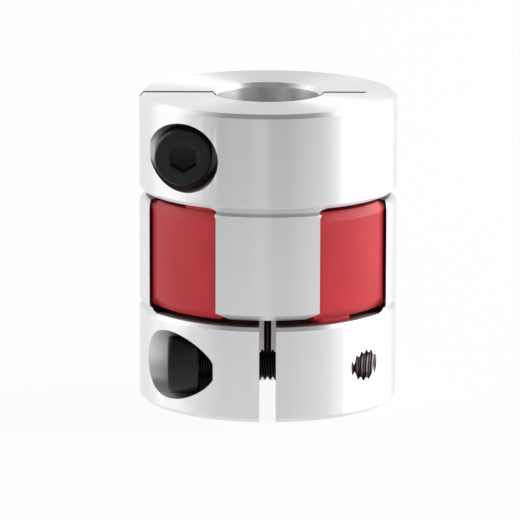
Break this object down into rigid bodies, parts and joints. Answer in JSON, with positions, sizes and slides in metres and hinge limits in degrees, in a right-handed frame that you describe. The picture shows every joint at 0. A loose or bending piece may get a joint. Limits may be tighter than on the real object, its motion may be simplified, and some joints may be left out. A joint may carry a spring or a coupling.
{
  "type": "jaw coupling",
  "caption": "Zero-backlash shaft coupling: slotted clamp hubs with curved jaws meshing round the arms of a red elastic spider, each hub drawn onto its shaft by a cap screw.",
  "frame": {"origin": "centre of the lower hub's end face, on the axis of the shafts", "axes": "+Z along the shafts from the lower hub to the upper hub; -Y is the front, where the lower hub's clamp slot is open; the lower clamp screw's head is towards -X and the upper one's towards -Y"},
  "size_m": [0.025, 0.025, 0.03],
  "materials": {
    "hub_aluminium": "fine turned, clear",
    "spider_polyurethane": "moulded, satin",
    "screw_steel": "black oxide"
  },
  "bodies": {
    "root": {"upper_hub": "hub_aluminium", "lower_hub": "hub_aluminium", "spider": "spider_polyurethane", "upper_clamp_screw": "screw_steel", "lower_clamp_screw": "screw_steel"}
  },
  "joints": []
}
